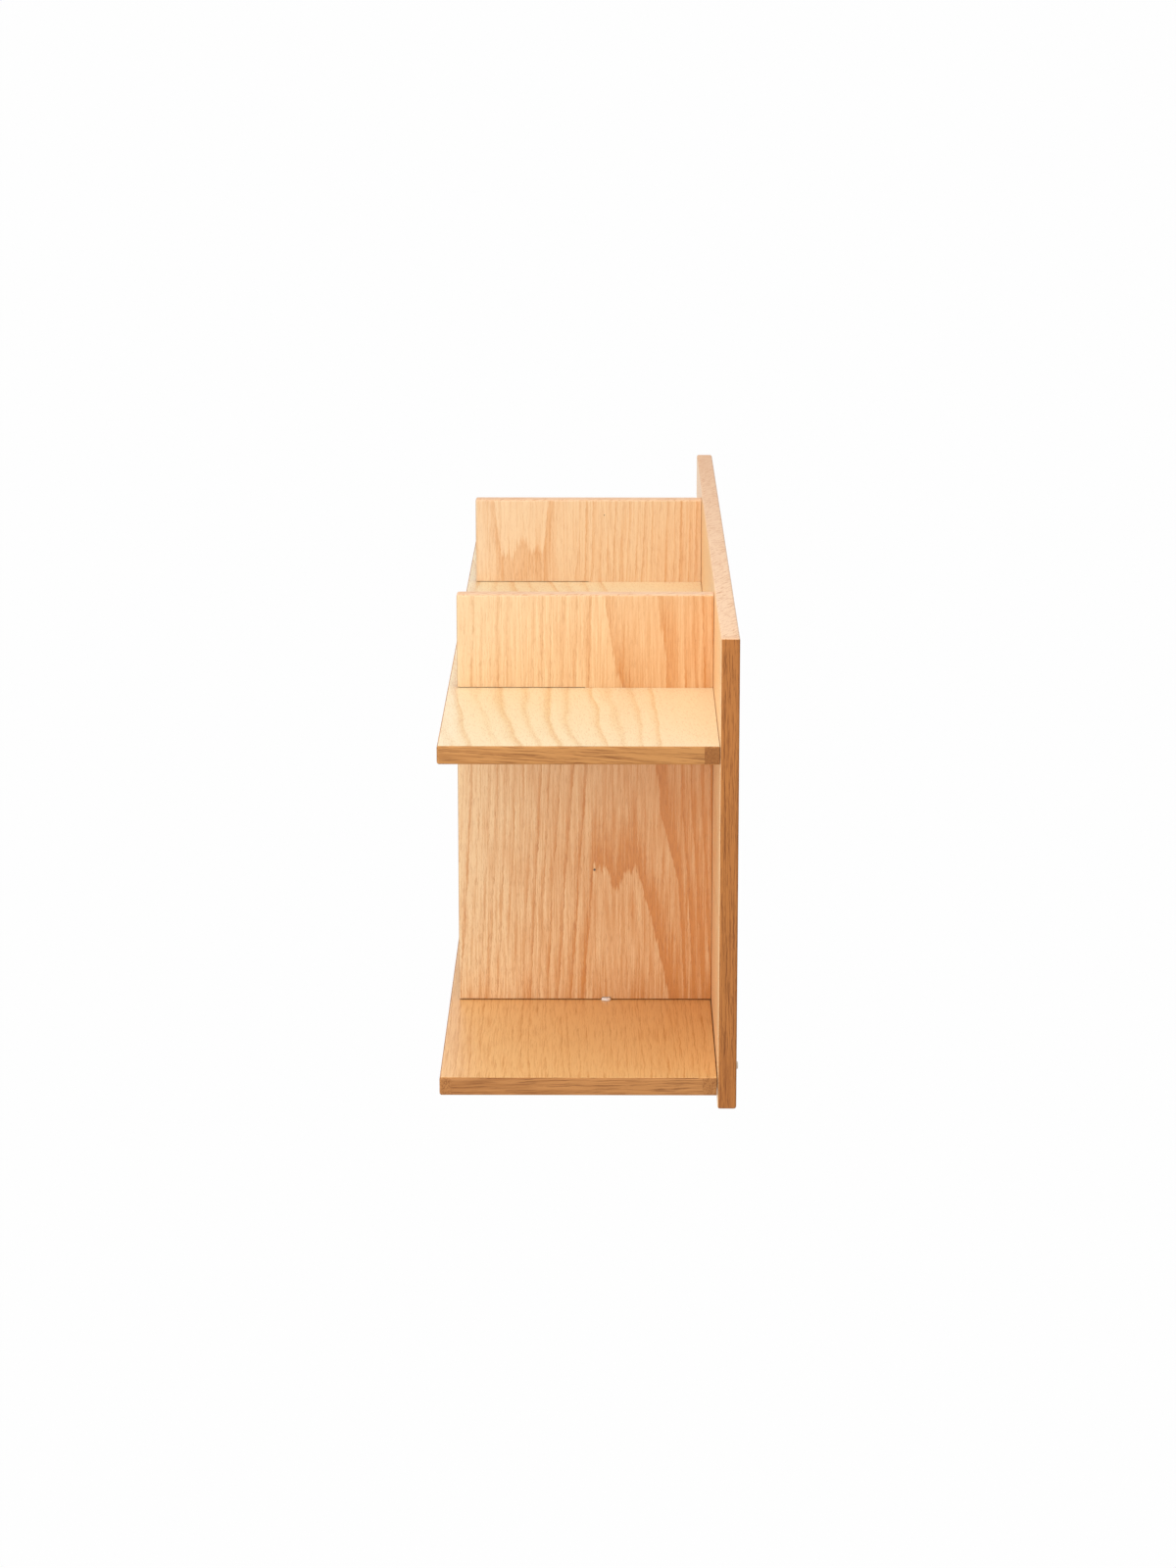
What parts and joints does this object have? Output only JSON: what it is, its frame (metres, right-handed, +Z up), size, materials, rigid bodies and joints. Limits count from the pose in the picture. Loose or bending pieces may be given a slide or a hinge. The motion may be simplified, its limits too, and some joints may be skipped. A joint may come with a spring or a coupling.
{
  "type": "wall shelf",
  "caption": "Long oak wall shelf: an upper and a lower board crossed by uprights in halving joints, on a full-width back panel that hangs on keyhole plates.",
  "frame": {"origin": "on the wall plane, straight behind the middle of the back panel", "axes": "+X along the shelf, to the right as seen from the front; +Y towards the wall; +Z up"},
  "size_m": [1.2, 0.3023, 0.485],
  "materials": {
    "oak_veneer": "satin lacquered oak veneer on board",
    "oak_lipping": "satin lacquered solid oak",
    "beech": "bare beech",
    "zinc_screw": "zinc plated",
    "hanger_steel": "plated sheet steel",
    "white_plastic": "moulded white plastic",
    "bumper": "clear soft polyurethane"
  },
  "bodies": {
    "root": {"back_panel": "oak_veneer", "back_panel_left_lipping": "oak_lipping", "back_panel_right_lipping": "oak_lipping", "back_panel_top_lipping": "oak_lipping", "back_panel_bottom_lipping": "oak_lipping", "upper_shelf": "oak_veneer", "upper_shelf_front_lipping": "oak_lipping", "upper_shelf_left_lipping": "oak_lipping", "upper_shelf_right_lipping": "oak_lipping", "upper_shelf_rear_lipping_left": "oak_lipping", "upper_shelf_rear_lipping_middle": "oak_lipping", "upper_shelf_rear_lipping_right": "oak_lipping", "lower_shelf": "oak_veneer", "lower_shelf_front_lipping": "oak_lipping", "lower_shelf_rear_lipping": "oak_lipping", "lower_shelf_left_lipping": "oak_lipping", "lower_shelf_right_lipping": "oak_lipping", "left_upright": "oak_veneer", "left_upright_top_lipping": "oak_lipping", "left_upright_front_lipping_upper": "oak_lipping", "left_upright_front_lipping_lower": "oak_lipping", "right_upright": "oak_veneer", "right_upright_top_lipping": "oak_lipping", "right_upright_front_lipping_upper": "oak_lipping", "right_upright_front_lipping_lower": "oak_lipping", "upper_shelf_screw_left": "zinc_screw", "upper_shelf_screw_middle": "zinc_screw", "upper_shelf_screw_right": "zinc_screw", "lower_shelf_screw_left": "zinc_screw", "lower_shelf_screw_middle": "zinc_screw", "lower_shelf_screw_right": "zinc_screw", "left_upright_screw_lower": "zinc_screw", "left_upright_screw_upper": "zinc_screw", "right_upright_screw_lower": "zinc_screw", "right_upright_screw_upper": "zinc_screw", "upper_shelf_dowel_left": "beech", "upper_shelf_dowel_right": "beech", "lower_shelf_dowel_left": "beech", "lower_shelf_dowel_right": "beech", "left_upright_dowel_front": "beech", "left_upright_dowel_rear": "beech", "right_upright_dowel_front": "beech", "right_upright_dowel_rear": "beech", "left_foot_peg": "white_plastic", "right_foot_peg": "white_plastic", "left_hanger": "hanger_steel", "right_hanger": "hanger_steel", "left_hanger_screw_lower": "zinc_screw", "left_hanger_screw_upper": "zinc_screw", "right_hanger_screw_lower": "zinc_screw", "right_hanger_screw_upper": "zinc_screw", "left_bumper": "bumper", "right_bumper": "bumper"}
  },
  "joints": []
}
